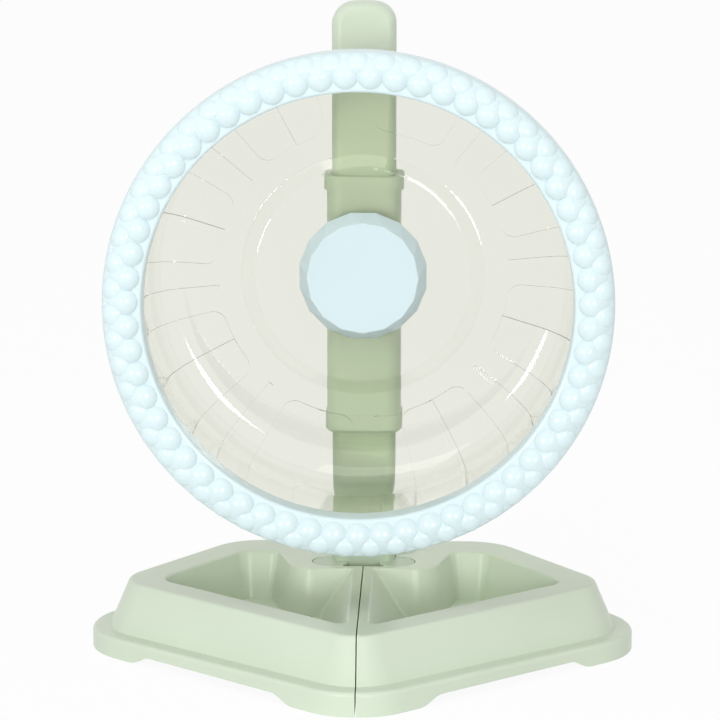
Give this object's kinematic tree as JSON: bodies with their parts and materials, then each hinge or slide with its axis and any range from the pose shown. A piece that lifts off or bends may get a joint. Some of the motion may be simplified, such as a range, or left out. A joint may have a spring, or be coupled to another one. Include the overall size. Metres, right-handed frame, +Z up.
{
  "type": "rodent exercise wheel",
  "caption": "Free-standing running wheel for a small rodent: a clear drum with a beaded ring turns in front of a post, on a split base with feeding troughs.",
  "frame": {"origin": "centre of the stand's footprint, on the floor", "axes": "+Z up, +X to the right of someone who faces the wheel's open side, +Y from the open side to the post"},
  "size_m": [0.237, 0.1859, 0.279],
  "materials": {
    "sage_plastic": "smooth moulded, soft gloss",
    "pale_blue_plastic": "smooth moulded, soft gloss",
    "clear_plastic": "clear, polished, faintly smoky",
    "steel": "ground",
    "brass": "turned",
    "bearing_cage_plastic": "moulded"
  },
  "bodies": {
    "stand": {"base_left": "sage_plastic", "base_right": "sage_plastic", "post": "sage_plastic", "post_cap": "sage_plastic"},
    "carriage": {"sleeve": "sage_plastic", "axle": "steel", "axle_shim": "steel", "axle_clip": "steel", "bearing_spacer": "steel", "front_bearing_inner_race": "steel", "rear_bearing_inner_race": "steel", "lock_insert": "brass"},
    "wheel": {"drum": "clear_plastic", "front_ring": "pale_blue_plastic", "hub_cap": "pale_blue_plastic", "hub_housing": "pale_blue_plastic", "hub_screws": "steel", "front_bearing_outer_race": "steel", "front_bearing_shields": "steel", "rear_bearing_outer_race": "steel", "rear_bearing_shields": "steel"},
    "bearing_cages": {"front_bearing_cage": "bearing_cage_plastic", "front_bearing_balls": "steel", "rear_bearing_cage": "bearing_cage_plastic", "rear_bearing_balls": "steel"},
    "lock_pad": {"lock_pad": "sage_plastic"},
    "lock_knob": {"lock_knob": "sage_plastic", "lock_screw": "steel"}
  },
  "joints": [
    {"name": "sleeve_slide", "type": "slide", "parent": "stand", "child": "carriage", "axis": [0, 0, 1], "range_m": [-0.024, 0.045]},
    {"name": "wheel_spin", "type": "hinge", "parent": "carriage", "child": "wheel", "pos_m": [0, 0, 0.1615], "axis": [0, 1, 0], "continuous": true},
    {"name": "cage_spin", "type": "hinge", "parent": "carriage", "child": "bearing_cages", "pos_m": [0, 0, 0.1615], "axis": [0, 1, 0], "continuous": true},
    {"name": "pad_slide", "type": "slide", "parent": "carriage", "child": "lock_pad", "axis": [0, 1, 0], "range_m": [-0.0002, 0.001]},
    {"name": "knob_turn", "type": "hinge", "parent": "lock_pad", "child": "lock_knob", "pos_m": [0, 0.07, 0.118], "axis": [0, 1, 0], "range_deg": [0, 360]}
  ],
  "couplings": [
    {"joint": "cage_spin", "follows": "wheel_spin", "ratio": 0.6324},
    {"joint": "pad_slide", "follows": "knob_turn", "m_per_rad": 0.00012732}
  ]
}
